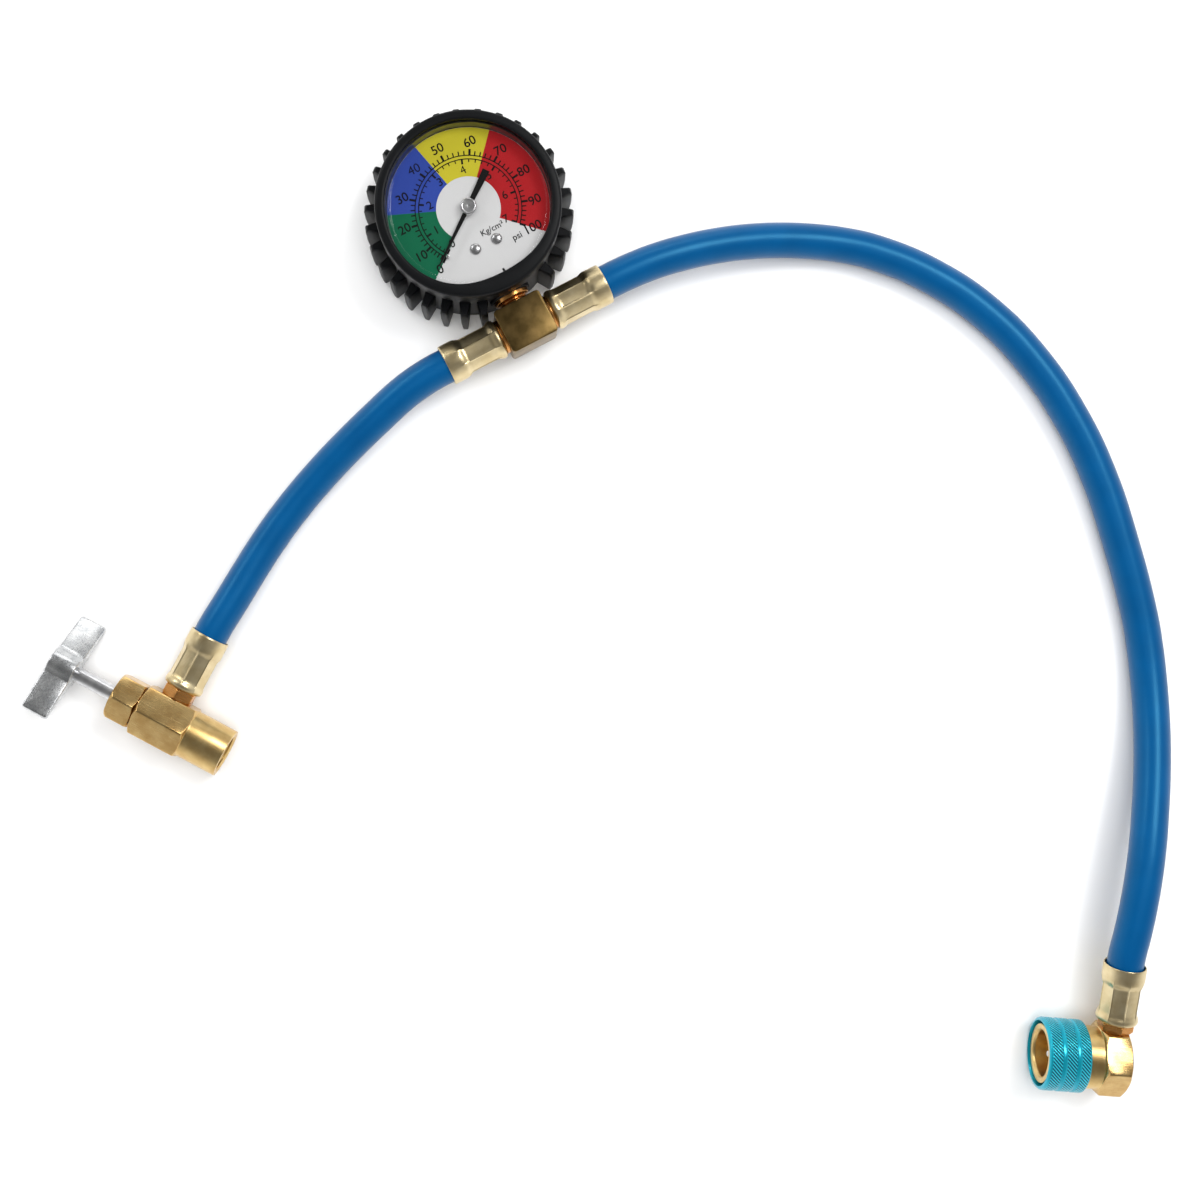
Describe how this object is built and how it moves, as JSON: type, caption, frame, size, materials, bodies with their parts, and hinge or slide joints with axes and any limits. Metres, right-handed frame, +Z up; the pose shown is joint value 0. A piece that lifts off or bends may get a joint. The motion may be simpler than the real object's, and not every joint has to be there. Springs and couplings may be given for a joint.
{
  "type": "refrigerant charging hose",
  "caption": "Charging hose with a T-handle can tap, a tee with a booted pressure gauge, crimped hoses and an elbow with a quick coupler.",
  "frame": {"origin": "centre of the gauge boot's back, on the floor that the part lies on", "axes": "+Z up from the floor along the gauge's axis, +X from the tap's side towards the coupler's side, +Y towards the gauge's side"},
  "size_m": [0.3919, 0.3346, 0.035],
  "materials": {
    "rubber": "matt moulded rubber",
    "steel": "bright plated steel",
    "brass": "machined brass",
    "copper_brass": "polished red brass",
    "zinc": null,
    "dial": "printed enamel",
    "pointer": "matt black paint",
    "lens": "clear polished plastic",
    "anodised": "teal anodised, knurled",
    "hose": "smooth extruded hose cover"
  },
  "bodies": {
    "hose_set": {"gauge_boot": "rubber", "gauge_case": "steel", "gauge_socket": "brass", "gauge_dial": "dial", "dial_screw_1": "steel", "dial_screw_2": "steel", "dial_stop_pin": "steel", "gauge_lens": "lens", "tee_block": "brass", "tee_ferrule_left": "brass", "tee_nipple_left": "copper_brass", "tee_ferrule_right": "brass", "tee_nipple_right": "copper_brass", "tap_gland_nut": "brass", "tap_body": "brass", "tap_gasket": "rubber", "tap_ferrule": "brass", "tap_nipple": "copper_brass", "elbow_body": "brass", "depressor_pin": "steel", "elbow_ferrule": "brass", "elbow_nipple": "copper_brass", "hose_short": "hose", "hose_long": "hose"},
    "spindle": {"tap_spindle": "steel"},
    "handle": {"tap_handle": "zinc"},
    "sleeve": {"coupler_sleeve": "anodised"},
    "pointer": {"gauge_pointer": "pointer", "pointer_cap": "steel"}
  },
  "joints": [
    {"name": "spindle_slide", "type": "slide", "parent": "hose_set", "child": "spindle", "axis": [0.8813, -0.4726, 0], "range_m": [0, 0.0075]},
    {"name": "handle_turn", "type": "hinge", "parent": "spindle", "child": "handle", "pos_m": [-0.1392, -0.1532, 0.0101], "axis": [0.8813, -0.4726, 0], "range_deg": [0, 1805]},
    {"name": "sleeve_slide", "type": "slide", "parent": "hose_set", "child": "sleeve", "axis": [0.9971, -0.0767, 0], "range_m": [0, 0.004], "stiffness_N_per_m": 800},
    {"name": "pointer_turn", "type": "hinge", "parent": "hose_set", "child": "pointer", "pos_m": [0, 0, 0.0293], "axis": [0, 0, -1], "range_deg": [0, 262], "stiffness_Nm_per_rad": 0.0005}
  ],
  "couplings": [
    {"joint": "handle_turn", "follows": "spindle_slide", "rad_per_m": 4188.8}
  ]
}
